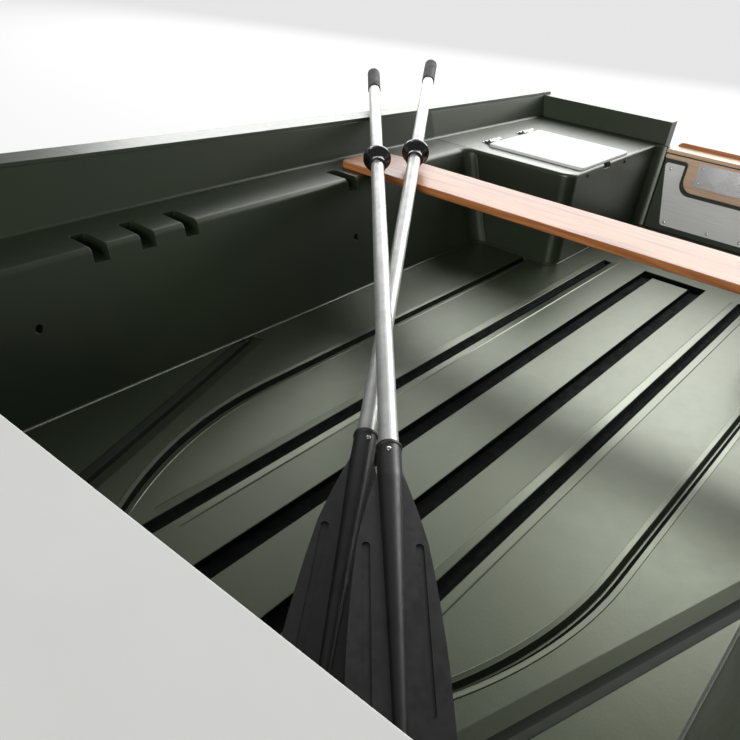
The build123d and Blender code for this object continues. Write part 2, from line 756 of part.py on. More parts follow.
def pad_outline(grow, top_z):
    # The pad's T-shaped face above pad_low_z, or the same grown all round, cut off at top_z
    body_half, wide_half = pad_half + grow, strip_half + grow
    low, step = -grow, (strip_low_z - pad_low_z) * up_slope - grow
    high = (top_z - pad_low_z) * up_slope
    inner_r = max(pad_corner / 3 - grow, 1.0)
    with BuildSketch() as face:
        with BuildLine():
            FilletPolyline(
                (0, low), (body_half, low), (body_half, step), (wide_half, step), (wide_half, high), (0, high),
                radius=[pad_corner, inner_r, strip_corner, pad_edge + 1],
            )
            Line((0, high), (0, low))
        make_face()
        mirror(about=Plane.YZ)
    return face.sketch


with BuildPart() as transom_pad:
    with BuildSketch(transom_plane(pad_low_z, transom_thick)):
        add(pad_outline(0.0, strip_high_z))
    extrude(amount=pad_thick)
    fillet(transom_pad.faces().sort_by(Axis.X)[-1].edges(), pad_edge)
finish(transom_pad.part, "transom_pad")

with BuildPart() as transom_plate:
    with BuildSketch(transom_plane(plate_low_z, transom_thick)):
        height = (plate_high_z - plate_low_z) * up_slope
        with BuildLine():
            Polyline(
                (-plate_half_low, 0), (plate_half_low, 0), (plate_half_top, height), (-plate_half_top, height),
                close=True,
            )
        make_face()
        fillet(vertices(), plate_corner)
        with Locations((0, (pad_low_z - plate_low_z) * up_slope)):
            add(pad_outline(pad_gap, outer_pad_high_z), mode=Mode.SUBTRACT)
    extrude(amount=plate_thick)
finish(transom_plate.part, "transom_plate")

with BuildPart() as clamp_plate:
    with BuildSketch(transom_plane(clamp_low_z, transom_thick + pad_thick)):
        height = (clamp_high_z - clamp_low_z) * up_slope
        with Locations((0, height / 2)):
            RectangleRounded(2 * clamp_half, height, clamp_corner)
    extrude(amount=clamp_thick)
finish(clamp_plate.part, "clamp_plate")

with BuildPart() as transom_outer_pad:
    with BuildSketch(transom_plane(outer_pad_low_z, 0.0)):
        height = (outer_pad_high_z - outer_pad_low_z) * up_slope
        with Locations((0, height / 2)):
            RectangleRounded(2 * outer_pad_half, height, outer_pad_corner)
    extrude(amount=-pad_thick)
    fillet(transom_outer_pad.faces().sort_by(Axis.X)[0].edges(), pad_edge)
finish(transom_outer_pad.part, "transom_outer_pad")

cap_front = transom_thick + pad_thick + cap_reach
with BuildPart() as transom_cap:
    with BuildSketch(Plane.XZ):
        with BuildLine():
            Polyline(
                (transom_x(cutout_z, 0.0), cutout_z),
                (transom_x(cutout_z, cap_front), cutout_z),
                (transom_x(cutout_z + cap_thick, cap_front), cutout_z + cap_thick),
                (transom_x(cutout_z + cap_thick, 0.0), cutout_z + cap_thick),
                close=True,
            )
        make_face()
    extrude(amount=cap_half, both=True)
    fillet(transom_cap.edges().filter_by(Axis.Y).sort_by(Axis.X)[-2:], cap_round)
    ends = transom_cap.edges().filter_by(lambda e: abs(e.center().X - transom_x(cutout_z, cap_front)) < 6)
    fillet(ends.filter_by(lambda e: e.length < 2 * cap_thick and abs(e.center().Y) > cap_half - 1), cap_end_round)
finish(transom_cap.part, "transom_cap")

with BuildPart() as drain_plug:
    with BuildSketch(transom_plane(drain_z, 0.0)):
        Circle(drain_r)
    extrude(amount=-drain_flange)
    with BuildSketch(transom_plane(drain_z, -drain_flange)):
        RegularPolygon(drain_nut_r, 6)
    extrude(amount=-drain_nut)
finish(drain_plug.part, "drain_plug")

# Bow eye: a ring on the stem for the painter
with BuildPart() as bow_eye:
    with Locations(Location((eye_x, 0, eye_z), (90, 0, 0))):
        Torus(eye_r, eye_rod)
    with Locations(Location((eye_x - eye_r - eye_shank / 2, 0, eye_z), (0, 90, 0))):
        Cylinder(eye_shank_r, eye_shank)
    with Locations(Location((eye_x, 0, eye_z), (90, 0, 0))):
        Cylinder(eye_bore_r, 4 * eye_rod, mode=Mode.SUBTRACT)
    add(keel.part, mode=Mode.SUBTRACT)
    add(hull_outer, mode=Mode.SUBTRACT)
finish(bow_eye.part, "bow_eye")

# Rowlocks in their sockets
for name, side in SIDES.items():
    plane = rowlock_plane(side)
    with BuildPart() as socket:
        with BuildSketch(plane):
            with Locations((0, side * socket_shift)):
                RectangleRounded(socket_len, socket_w, socket_corner)
        extrude(amount=socket_plate)
        with BuildSketch(plane):
            Circle(socket_tube_r)
        extrude(amount=-socket_depth)
        with BuildSketch(plane.offset(socket_plate)):
            Circle(shank_r + shank_gap)
        extrude(amount=-socket_depth - socket_plate, mode=Mode.SUBTRACT)
    finish(socket.part, f"rowlock_socket_{name}")
    with BuildPart() as rowlock:
        with BuildSketch(plane.offset(socket_plate + rest_gap)):
            Circle(shoulder_r)
        extrude(amount=shoulder)
        with BuildSketch(plane.offset(socket_plate + rest_gap)):
            Circle(shank_r)
        extrude(amount=-socket_depth - shank_past)
        horn_centre = socket_plate + rest_gap + horn_lift + horn_rod_r + horn_r
        ring_plane = plane * Plane(origin=(0, 0, horn_centre), x_dir=(1, 0, 0), z_dir=(0, -1, 0))
        with BuildLine(ring_plane) as ring:
            CenterArc((0, 0), horn_r, 90 + horn_open / 2, 360 - horn_open)
        with BuildSketch(Plane(origin=ring.line @ 0, z_dir=ring.line % 0)):
            Circle(horn_rod_r)
        sweep(path=ring.line)
    finish(rowlock.part, f"rowlock_{name}")


# Oars, each along its plane's X axis from the blade's tip, with the blade's face along Z
def oar_direction(yaw, pitch):
    return Vector(
        cos(radians(yaw)) * cos(pitch), sin(radians(yaw)) * cos(pitch), sin(pitch)
    )


thwart_front = thwart_x + thwart_w / 2
thwart_top = ledge_z + thwart_thick
lower_pitch = 0.2
for _ in range(12):
    edge_drop = thwart_edge * (sin(lower_pitch) + cos(lower_pitch) - 1)
    tip_z = floor_z + rest_gap + blade_plate / 2 * cos(lower_pitch)
    touch_z = thwart_top - edge_drop + (loom_r + rest_gap) / cos(lower_pitch)
    lower_pitch = atan2(touch_z - tip_z, LOWER_TOUCH_S * cos(lower_pitch))
lower_dir = oar_direction(LOWER_YAW, lower_pitch)
lower_tip = Vector(thwart_front, LOWER_TOUCH_Y, touch_z) - lower_dir * LOWER_TOUCH_S
plan = oar_direction(UPPER_YAW, 0.0)
step = (UPPER_TOUCH_X - UPPER_PLAN[0]) / plan.X
upper_touch = Vector(UPPER_TOUCH_X, UPPER_PLAN[1] + step * plan.Y, 0)
rail_z = sheer_z(UPPER_TOUCH_X) + rail_cap
# where the two cross in plan
gap_x, gap_y = upper_touch.X - lower_tip.X, upper_touch.Y - lower_tip.Y
turn = plan.X * lower_dir.Y - plan.Y * lower_dir.X
along = (gap_x * lower_dir.Y - gap_y * lower_dir.X) / turn
cross_run = abs(along)
lower_run = (gap_y * plan.X - gap_x * plan.Y) / turn
cross_z = lower_tip.Z + lower_run * lower_dir.Z
upper_pitch = lower_pitch
for _ in range(12):
    upper_dir = oar_direction(UPPER_YAW, upper_pitch)
    between = upper_dir.cross(lower_dir).normalized()
    over = (2 * loom_r + rest_gap) / abs(between.Z)
    touch_z = rail_z + (loom_r + rest_gap) / cos(upper_pitch)
    upper_pitch = atan2(touch_z - (cross_z + over), cross_run)
upper_dir = oar_direction(UPPER_YAW, upper_pitch)
upper_tip = Vector(upper_touch.X, upper_touch.Y, touch_z) - upper_dir * (
    UPPER_TIP_S + step)


def oar_plane(tip, direction):
    across = Vector(0, 0, 1).cross(direction).normalized()
    return Plane(origin=tip, x_dir=direction, z_dir=direction.cross(across))


blade_bore_s = blade_len - blade_bore


def oar(prefix, plane):
    with BuildPart() as loom:
        with BuildSketch(plane * Plane(origin=(blade_bore_s, 0, 0), z_dir=(1, 0, 0))):
            Circle(loom_r)
        extrude(amount=oar_length - grip_end - blade_bore_s)
    with BuildPart() as blade:
        with BuildSketch(plane.offset(-blade_plate / 2)):
            with BuildLine():
                ThreePointArc(*BLADE_EDGE[0:3])
                ThreePointArc(*BLADE_EDGE[2:5])
                Line(BLADE_EDGE[4], BLADE_EDGE[5])
                ThreePointArc(BLADE_EDGE[5], (0, 0), (BLADE_EDGE[5][0], -BLADE_EDGE[5][1]))
                mirrored = [(x, -y) for x, y in BLADE_EDGE]
                Line(mirrored[5], mirrored[4])
                ThreePointArc(*mirrored[2:5])
                ThreePointArc(*mirrored[0:3])
                Line(mirrored[0], BLADE_EDGE[0])
            make_face()
        extrude(amount=blade_plate)
        with BuildSketch(plane):
            with BuildLine():
                Polyline(*BLADE_RIB, (blade_len, 0), (BLADE_RIB[0][0], 0), close=True)
            make_face()
        revolve(axis=Axis(plane.origin, plane.x_dir))
        for face_side in (1, -1):
            with BuildSketch(plane.offset(face_side * (blade_plate / 2 - slot_deep))):
                for y in (slot_y, -slot_y):
                    with Locations(((slot_s_low + slot_s_high) / 2, y)):
                        SlotOverall(slot_s_high - slot_s_low, slot_w)
            extrude(amount=face_side * 2 * slot_deep, mode=Mode.SUBTRACT)
        with BuildSketch(plane * Plane(origin=(blade_bore_s, 0, 0), z_dir=(1, 0, 0))):
            Circle(loom_r + loom_gap)
        extrude(amount=blade_len, mode=Mode.SUBTRACT)
    with BuildPart() as collar:
        with BuildSketch(plane):
            with BuildLine():
                outline = [(collar_s + along, loom_r + over) for along, over in COLLAR]
                inside = loom_r + loom_gap
                Polyline((outline[0][0], inside), *outline, (outline[-1][0], inside), close=True)
            make_face()
        revolve(axis=Axis(plane.origin, plane.x_dir))
    with BuildPart() as grip:
        with BuildSketch(plane):
            with BuildLine():
                grip_s = oar_length - grip_len
                Polyline(
                    (grip_s, loom_r + loom_gap), (grip_s, grip_r), (oar_length - grip_end, grip_r),
                    (oar_length, grip_r - grip_end), (oar_length, 0), (oar_length - grip_end, 0),
                    (oar_length - grip_end, loom_r + loom_gap), close=True,
                )
            make_face()
        revolve(axis=Axis(plane.origin, plane.x_dir))
    finish(loom.part, f"{prefix}_oar_loom")
    finish(blade.part, f"{prefix}_oar_blade")
    finish(collar.part, f"{prefix}_oar_collar")
    finish(grip.part, f"{prefix}_oar_grip")


oar("lower", oar_plane(lower_tip, lower_dir))
oar("upper", oar_plane(upper_tip, upper_dir))
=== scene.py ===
import math

import bpy
from mathutils import Matrix, Vector


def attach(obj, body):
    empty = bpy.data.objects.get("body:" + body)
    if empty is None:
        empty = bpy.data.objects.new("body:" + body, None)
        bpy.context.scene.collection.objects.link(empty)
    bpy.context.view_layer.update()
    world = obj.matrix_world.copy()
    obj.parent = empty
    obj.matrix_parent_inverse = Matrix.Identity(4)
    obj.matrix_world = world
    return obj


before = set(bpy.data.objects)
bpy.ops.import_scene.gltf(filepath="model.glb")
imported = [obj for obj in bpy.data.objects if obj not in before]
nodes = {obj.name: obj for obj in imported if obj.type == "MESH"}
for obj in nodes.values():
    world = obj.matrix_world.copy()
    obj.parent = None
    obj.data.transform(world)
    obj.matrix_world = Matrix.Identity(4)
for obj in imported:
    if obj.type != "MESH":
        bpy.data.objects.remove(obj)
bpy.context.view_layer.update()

# Camera, in metres and degrees
CAMERA_PLACE = Vector((0.42, 0.582, 0.943))
CAMERA_HEADING = -142.69
CAMERA_TILT = -30.33
CAMERA_ROLL = 5.13
FOCAL_PX = 773.0
FRAME_PX = 740.0
SENSOR_MM = 36.0

# Colours, linear
GREEN = (0.011, 0.017, 0.009)
GREEN_LIGHT = (0.018, 0.026, 0.013)
# the next is a near-black green of painted shade, for the strip along the soft step
GREEN_PAINTED_SHADE = (0.003, 0.004, 0.003)
LID_WHITE = (0.72, 0.72, 0.70)
MAHOGANY_DARK = (0.19, 0.050, 0.013)
MAHOGANY_LIGHT = (0.46, 0.18, 0.055)
PAD_LIGHT = (0.70, 0.50, 0.34)
PAD_DARK = (0.50, 0.31, 0.19)
ALUMINIUM = (0.58, 0.59, 0.57)
CAST_METAL = (0.50, 0.51, 0.51)
STEEL = (0.60, 0.61, 0.62)
PLATE_METAL = (0.80, 0.80, 0.78)
BRASS = (0.55, 0.38, 0.15)
BLADE_BLACK = (0.014, 0.014, 0.015)
COLLAR_BLACK = (0.006, 0.006, 0.006)
RUBBER_BLACK = (0.012, 0.012, 0.012)
KEEL_BLACK = (0.012, 0.014, 0.012)
# near-black of the painted shade laid in the floor's channels and grooves
CHANNEL_PAINTED_SHADE = (0.0015, 0.0025, 0.0015)
GELCOAT_TINT = (0.94, 1.0, 0.85)   # of the gelcoat's shine
FLOOR_TINT = (0.90, 1.0, 0.72)
STUDIO_FLOOR = (0.82, 0.82, 0.82)

SIDES = (("port", 1), ("starboard", -1))


def camera_matrix():
    heading, tilt = math.radians(CAMERA_HEADING), math.radians(CAMERA_TILT)
    look = Vector((math.cos(heading) * math.cos(tilt), math.sin(heading) * math.cos(tilt), math.sin(tilt)))
    level = look.cross(Vector((0, 0, 1))).normalized()
    right = Matrix.Rotation(math.radians(-CAMERA_ROLL), 3, look) @ level
    up = right.cross(look)
    turn = Matrix((right, up, -look)).transposed()
    return Matrix.Translation(CAMERA_PLACE) @ turn.to_4x4()


def add_camera():
    data = bpy.data.cameras.new("camera")
    data.sensor_width = SENSOR_MM
    data.lens = SENSOR_MM * FOCAL_PX / FRAME_PX
    data.clip_start = 0.02
    camera = bpy.data.objects.new("camera", data)
    camera.matrix_world = camera_matrix()
    bpy.context.scene.collection.objects.link(camera)
    bpy.context.scene.camera = camera
    return camera


# Materials: small helpers for node trees
class Tree:
    """A material whose nodes are added by short calls. Textures use the object's own metres."""

    def __init__(self, name):
        self.material = bpy.data.materials.new(name)
        self.material.use_nodes = True
        self.nodes = self.material.node_tree.nodes
        self.links = self.material.node_tree.links
        self.nodes.clear()
        self.shader = self.nodes.new("ShaderNodeBsdfPrincipled")
        output = self.nodes.new("ShaderNodeOutputMaterial")
        self.links.new(self.shader.outputs["BSDF"], output.inputs["Surface"])
        self.place = self.nodes.new("ShaderNodeTexCoord").outputs["Object"]

    def set(self, **values):
        for key, value in values.items():
            socket = self.shader.inputs[key.replace("_", " ")]
            socket.default_value = (*value, 1.0) if isinstance(value, tuple) and len(value) == 3 else value

    def scaled(self, scale, turn=(0, 0, 0)):
        node = self.nodes.new("ShaderNodeMapping")
        node.inputs["Scale"].default_value = scale
        node.inputs["Rotation"].default_value = turn
        self.links.new(self.place, node.inputs["Vector"])
        return node.outputs["Vector"]

    def noise(self, scale, detail=4.0, rough=0.55, vector=None, distortion=0.0):
        node = self.nodes.new("ShaderNodeTexNoise")
        node.inputs["Scale"].default_value = scale
        node.inputs["Detail"].default_value = detail
        node.inputs["Roughness"].default_value = rough
        node.inputs["Distortion"].default_value = distortion
        self.links.new(vector or self.place, node.inputs["Vector"])
        return node.outputs["Fac"]

    def ramp(self, fac, *stops):
        node = self.nodes.new("ShaderNodeValToRGB")
        elements = node.color_ramp.elements
        for index, (at, colour) in enumerate(stops):
            element = elements[index] if index < 2 else elements.new(at)
            element.position = at
            element.color = (*colour, 1.0)
        self.links.new(fac, node.inputs["Fac"])
        return node.outputs["Color"]

    def span(self, fac, low, high, out_low, out_high):
        node = self.nodes.new("ShaderNodeMapRange")
        for key, value in (("From Min", low), ("From Max", high), ("To Min", out_low), ("To Max", out_high)):
            node.inputs[key].default_value = value
        self.links.new(fac, node.inputs["Value"])
        return node.outputs["Result"]

    def mix(self, fac, first, second):
        node = self.nodes.new("ShaderNodeMix")
        node.data_type = "RGBA"
        for key, value in ((0, fac), (6, first), (7, second)):
            if isinstance(value, bpy.types.NodeSocket):
                self.links.new(value, node.inputs[key])
            else:
                node.inputs[key].default_value = value if key == 0 else (*value, 1.0)
        return node.outputs[2]

    def bump(self, height, strength, distance, after=None):
        node = self.nodes.new("ShaderNodeBump")
        node.inputs["Strength"].default_value = strength
        node.inputs["Distance"].default_value = distance
        self.links.new(height, node.inputs["Height"])
        if after:
            self.links.new(after, node.inputs["Normal"])
        return node.outputs["Normal"]

    def bevel(self, radius):
        node = self.nodes.new("ShaderNodeBevel")
        node.samples = 4
        node.inputs["Radius"].default_value = radius
        return node.outputs["Normal"]

    def to(self, socket, name):
        self.links.new(socket, self.shader.inputs[name])


def gelcoat(name, dark, light, roughness=0.36, edges=True, shine=0.5, tint=GELCOAT_TINT):
    tree = Tree(name)
    patches = tree.noise(3.0, 3.0)
    tree.to(tree.ramp(patches, (0.30, dark), (0.75, light)), "Base Color")
    dust = tree.noise(45.0, 6.0, 0.7)
    tree.to(tree.span(dust, 0.35, 0.75, roughness * 0.96, roughness * 1.10), "Roughness")
    ripple = tree.noise(14.0, 2.0)
    peel = tree.noise(330.0, 2.0)
    if edges:
        soft = tree.bump(ripple, 0.08, 0.004, tree.bevel(0.0022))
        tree.to(tree.bump(peel, 0.10, 0.001, soft), "Normal")
    tree.set(Specular_IOR_Level=shine, Specular_Tint=tint)
    return tree.material


def lid_plastic(name):
    tree = Tree(name)
    tree.to(tree.ramp(tree.noise(6.0, 3.0), (0.3, LID_WHITE), (0.8, (0.755, 0.755, 0.735))), "Base Color")
    tree.to(tree.span(tree.noise(60.0, 5.0), 0.3, 0.8, 0.45, 0.58), "Roughness")
    tree.to(tree.bump(tree.noise(500.0, 1.0), 0.05, 0.0006, tree.bevel(0.0015)), "Normal")
    tree.set(Specular_IOR_Level=0.12)
    return tree.material


def wood(name, dark, light, along, gloss, grain=1.0):
    """along is the axis of the grain: 0, 1 or 2."""
    tree = Tree(name)
    scale = [22.0 * grain, 22.0 * grain, 22.0 * grain]
    scale[along] = 1.1 * grain
    stretched = tree.scaled(scale)
    rings = tree.noise(1.6, 5.0, 0.6, stretched, 1.2)
    fine = [260.0, 260.0, 260.0]
    fine[along] = 6.0
    pores = tree.noise(1.0, 3.0, 0.7, tree.scaled(fine))
    tone = tree.ramp(rings, (0.28, dark), (0.52, light), (0.74, dark))
    tree.to(tree.mix(tree.span(pores, 0.52, 0.72, 0.0, 0.45), tone, dark), "Base Color")
    tree.to(tree.span(pores, 0.3, 0.8, gloss, gloss + 0.15), "Roughness")
    tree.to(tree.bump(pores, 0.15, 0.0006, tree.bevel(0.0012)), "Normal")
    tree.set(Specular_IOR_Level=0.3, Coat_Weight=0.26, Coat_Roughness=0.28)
    return tree.material


def brushed(name, colour, along, roughness=0.32, metallic=1.0):
    tree = Tree(name)
    scale = [900.0, 900.0, 900.0]
    scale[along] = 12.0
    lines = tree.noise(1.0, 3.0, 0.6, tree.scaled(scale))
    shade = tuple(0.82 * part for part in colour)
    tree.to(tree.ramp(lines, (0.3, shade), (0.7, colour)), "Base Color")
    smudge = tree.noise(9.0, 4.0)
    tree.to(tree.span(smudge, 0.3, 0.7, roughness * 0.8, roughness * 1.35), "Roughness")
    tree.to(tree.bump(lines, 0.12, 0.0003), "Normal")
    tree.set(Metallic=metallic)
    return tree.material


def plastic(name, colour, roughness, grain=700.0, bump=0.08):
    tree = Tree(name)
    paler = tuple(part * 1.7 + 0.004 for part in colour)
    tree.to(tree.ramp(tree.noise(25.0, 5.0, 0.65), (0.35, colour), (0.8, paler)), "Base Color")
    tree.to(tree.span(tree.noise(70.0, 4.0), 0.3, 0.75, roughness * 0.85, roughness * 1.3), "Roughness")
    tree.to(tree.bump(tree.noise(grain, 2.0), bump, 0.0005), "Normal")
    return tree.material


def matt_tube(name, colour):
    tree = Tree(name)
    smudge = tree.noise(26.0, 5.0, 0.7)
    paler = tuple(min(1.0, part * 1.12) for part in colour)
    darker = tuple(part * 0.80 for part in colour)
    tree.to(tree.ramp(smudge, (0.3, darker), (0.55, colour), (0.75, paler)), "Base Color")
    tree.to(tree.span(tree.noise(80.0, 4.0), 0.3, 0.7, 0.36, 0.52), "Roughness")
    tree.to(tree.bump(tree.noise(600.0, 2.0), 0.08, 0.0004), "Normal")
    tree.set(Metallic=0.6)
    return tree.material


def give(material, *names):
    for name in names:
        mesh = nodes[name].data
        mesh.materials.clear()
        mesh.materials.append(material)


def new_piece(name, vertices, faces, body, material):
    mesh = bpy.data.meshes.new(name)
    mesh.from_pydata(vertices, [], faces)
    mesh.validate()
    mesh.update()
    mesh.shade_smooth()
    mesh.set_sharp_from_angle(angle=math.radians(40))
    mesh.materials.append(material)
    piece = bpy.data.objects.new(name, mesh)
    bpy.context.scene.collection.objects.link(piece)
    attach(piece, body)
    return piece


def arc_points(centre, radius, start, end, count):
    angles = [math.radians(start + (end - start) * step / count) for step in range(count + 1)]
    return [(centre[0] + radius * math.cos(angle), centre[1] + radius * math.sin(angle)) for angle in angles]


def cove(name, path, z, radius, material, closed=True):
    """A small cove along the foot of a wall. The path holds x, y and the wall's lean in x and y per
    unit of height; the open side is on its left."""
    path = [point for index, point in enumerate(path)
            if index == 0 or math.dist(point[:2], path[index - 1][:2]) > 1e-6]
    count = len(path)
    vertices, faces = [], []
    steps, tuck = 5, 0.0004   # tuck: how far its back lies behind the corner
    for index, (x, y, lean_x, lean_y) in enumerate(path):
        before = path[index - 1] if closed or index else path[index]
        after = path[(index + 1) % count] if closed or index < count - 1 else path[index]
        first = Vector((x - before[0], y - before[1]))
        second = Vector((after[0] - x, after[1] - y))
        first = first.normalized() if first.length else second.normalized()
        second = second.normalized() if second.length else first
        side = Vector((-first.y - second.y, first.x + second.x)).normalized()
        side /= max(0.5, side.dot(Vector((-second.y, second.x))))
        foot = Vector((x, y, z))
        high = foot + Vector((lean_x, lean_y, 1.0)) * radius
        near = foot + Vector((side.x, side.y, 0.0)) * radius
        for step in range(steps + 1):
            part = step / steps
            point = high * (1 - part) ** 2 + foot * 2 * part * (1 - part) + near * part ** 2
            vertices.append(point)
        vertices.append(foot - Vector((side.x, side.y, 1.0)) * tuck)
    ring = steps + 2
    for index in range(count if closed else count - 1):
        here, there = index * ring, ((index + 1) % count) * ring
        for step in range(ring):
            turn = (step + 1) % ring
            faces.append((here + step, there + step, there + turn, here + turn))
    if not closed:
        faces.append(tuple(range(ring)))
        faces.append(tuple(reversed(range((count - 1) * ring, count * ring))))
    return new_piece(name, vertices, faces, "hull", material)


def lean_points(points, lean):
    return [(x, y, lean[0], lean[1]) for x, y in points]


def heads(name, spots, body, material, radius, height, recess=0.42):
    """Domed heads with a six-sided recess, all in one mesh. A spot is a place and a direction. The
    profile's points are parts of the radius and of the height."""
    sides = 18
    profile = [(1.0, 0.0), (1.0, 0.30), (0.93, 0.62), (0.78, 0.86), (0.58, 1.0), (recess, 1.0),
               (recess * 0.92, 0.25)]
    if not recess:
        profile = [(1.0, 0.0), (0.98, 0.30), (0.86, 0.62), (0.62, 0.86), (0.30, 1.0)]
    vertices, faces = [], []
    for place, direction in spots:
        axis = Vector(direction).normalized()
        across = axis.orthogonal().normalized()
        other = axis.cross(across)
        base = len(vertices)
        for level, (reach, rise) in enumerate(profile):
            for step in range(sides):
                angle = 2 * math.pi * step / sides
                away = radius * reach
                if recess and level >= 5:
                    sector = angle % (math.pi / 3) - math.pi / 6
                    away *= math.cos(math.pi / 6) / math.cos(sector)
                vertices.append(Vector(place) + axis * rise * height
                                + (across * math.cos(angle) + other * math.sin(angle)) * away)
        for level in range(len(profile) - 1):
            for step in range(sides):
                turn = (step + 1) % sides
                low, high = base + level * sides, base + (level + 1) * sides
                faces.append((low + step, low + turn, high + turn, high + step))
        last = base + (len(profile) - 1) * sides
        faces.append(tuple(last + step for step in range(sides)))
    return new_piece(name, vertices, faces, body, material)


add_camera()
green = gelcoat("green_gelcoat", GREEN, GREEN_LIGHT)
green_floor = gelcoat("green_floor", GREEN, GREEN_LIGHT, 0.38, shine=0.82, tint=FLOOR_TINT)
green_small = gelcoat("green_small", GREEN, GREEN_LIGHT, 0.32, edges=False, shine=0.9, tint=FLOOR_TINT)
green_locker = gelcoat("green_locker", GREEN, GREEN_LIGHT, 0.36, shine=0.95)
# painted shade: a dull, near-black green for the strip along the soft step
green_painted_shade = gelcoat("green_painted_shade", GREEN_PAINTED_SHADE, GREEN, 0.50, edges=False, shine=0.12)
steel = brushed("stainless", STEEL, 1, 0.25)
black_rubber = plastic("buffer_rubber", RUBBER_BLACK, 0.6, 300.0, 0.2)
MOULDED = ["hull_shell", "transom", "bow_locker", "middle_bench"]
MOULDED += [f"{part}_{side}" for part in ("side_bench", "gunwale_rail") for side, sign in SIDES]
give(green, *MOULDED)
give(green_locker, "stern_locker_port", "stern_locker_starboard")
give(green_floor, "floor_pan")
give(lid_plastic("lid_white"), "stern_lid_port", "stern_lid_starboard", "bench_lid", "bow_lid")
give(wood("mahogany", MAHOGANY_DARK, MAHOGANY_LIGHT, 1, 0.42), "thwart", "transom_outer_pad")
give(wood("pad_wood", PAD_DARK, PAD_LIGHT, 1, 0.40, 1.4), "transom_pad", "transom_cap")
give(brushed("plate_metal", PLATE_METAL, 1, 0.42, 0.3), "transom_plate")
give(steel, "stern_hinge_port", "stern_hinge_starboard", "bench_hinge", "bow_hinge", "clamp_plate", "bow_eye")
give(plastic("keel_black", KEEL_BLACK, 0.55), "keel", "side_keel_port", "side_keel_starboard")
give(brushed("brass", BRASS, 2, 0.4), "drain_plug")
give(matt_tube("cast_aluminium", CAST_METAL),
     *[f"{part}_{side}" for part in ("rowlock", "rowlock_socket") for side, sign in SIDES])
give(matt_tube("loom_aluminium", ALUMINIUM), "lower_oar_loom", "upper_oar_loom")
give(plastic("blade_black", BLADE_BLACK, 0.40), "lower_oar_blade", "upper_oar_blade")
give(plastic("collar_black", COLLAR_BLACK, 0.16), "lower_oar_collar", "upper_oar_collar")
give(plastic("grip_rubber", RUBBER_BLACK, 0.7, 300.0, 0.3), "lower_oar_grip", "upper_oar_grip")

# Coves along the foot of the walls, where the floor's moulding meets the sides
FLOOR_Z, LEDGE_Z = 0.120, 0.382
LOCKER_X, BENCH_X, BENCH_FWD_X, BULKHEAD_X = -1.540, 0.120, 0.492, 1.150
FLOOR_HALF, LEDGE_HALF, WELL_HALF, CORNER_R = 0.550, 0.630, 0.287, 0.035
BOW_X, BOW_FLOOR_HALF, BOW_LEDGE_HALF = 0.500, 0.200, 0.430
SIDE_LEAN = (LEDGE_HALF - FLOOR_HALF) / (LEDGE_Z - FLOOR_Z)
TRANSOM_X, TRANSOM_Z, TRANSOM_THICK = -2.200, 0.380, 0.044
RAKE = math.radians(10.0)


def transom_place(y, z, offset):
    """A place on the transom, offset metres forward of its outer face and square to it."""
    return (TRANSOM_X - (z - TRANSOM_Z) * math.tan(RAKE) + offset / math.cos(RAKE), y, z)


def other_side(points):
    """The same points on the boat's other side, in the opposite order."""
    return [(x, -y, lean_x, -lean_y) for x, y, lean_x, lean_y in reversed(points)]


def foot_of_cockpit():
    """The floor's outline aft of the middle bench, round both stern lockers and the well."""
    well_x = transom_place(0, FLOOR_Z, TRANSOM_THICK)[0]
    inner, outer = LOCKER_X + CORNER_R, LOCKER_X - CORNER_R
    port = lean_points([(BENCH_X, FLOOR_HALF), (inner, FLOOR_HALF)], (0, SIDE_LEAN))
    port += lean_points(arc_points((inner, FLOOR_HALF - CORNER_R), CORNER_R, 90, 180, 8), (0, 0))[1:]
    port += lean_points(arc_points((outer, WELL_HALF + CORNER_R), CORNER_R, 0, -90, 8), (0, 0))
    port += lean_points(arc_points((well_x + CORNER_R, WELL_HALF - CORNER_R), CORNER_R, 90, 180, 8), (0, 0))
    return port + other_side(port)


def foot_of_bow():
    """The floor's outline forward of the middle bench, where both walls bend inboard."""
    points, steps = [], 16
    for step in range(steps + 1):
        part = step / steps
        low = bend(BOW_X, FLOOR_HALF, BULKHEAD_X, BOW_FLOOR_HALF, part)
        high = bend(BOW_X, LEDGE_HALF, BULKHEAD_X, BOW_LEDGE_HALF, part)
        rise = LEDGE_Z - FLOOR_Z
        points.append((low[0], low[1], (high[0] - low[0]) / rise, (high[1] - low[1]) / rise))
    points = [(BENCH_FWD_X, FLOOR_HALF, 0, SIDE_LEAN)] + points
    port = list(reversed(points))
    return other_side(port) + port


def bend(x0, y0, x1, y1, part):
    """A point on the arc that leaves x0, y0 straight forward and ends at x1, y1."""
    run, drop = x1 - x0, y0 - y1
    radius = (run ** 2 + drop ** 2) / (2 * drop)
    angle = part * math.asin(run / radius)
    return x0 + radius * math.sin(angle), y0 - radius * (1 - math.cos(angle))


# Sections. The first number is how far across the line, in widths. The second is how high over the
# floor as a part of the height or, where it is negative, how far below the floor in metres.
RIDGE = [(0.0, -0.0003), (0.0, 0.0), (0.25, 0.24), (0.55, 0.60), (0.78, 0.90), (0.86, 1.0), (0.92, 0.85),
         (1.0, 0.0), (1.0, -0.0003)]
SWAGE = [(-0.0030, 1.0), (0.0005, 1.0), (0.0115, -0.0055), (0.0130, -0.0057), (0.0240, -0.0037),
         (0.0240, -0.0046), (0.0122, -0.0070), (0.0, -0.0015), (-0.0030, -0.0003)]
TONGUE = [(0.0010, -0.0092), (0.0010, -0.0086), (0.0020, -0.0084), (0.0085, -0.0004), (0.0090, -0.0012),
          (0.0024, -0.0092)]


END_HEIGHT = 0.05   # of a ridge, as a part of its full height


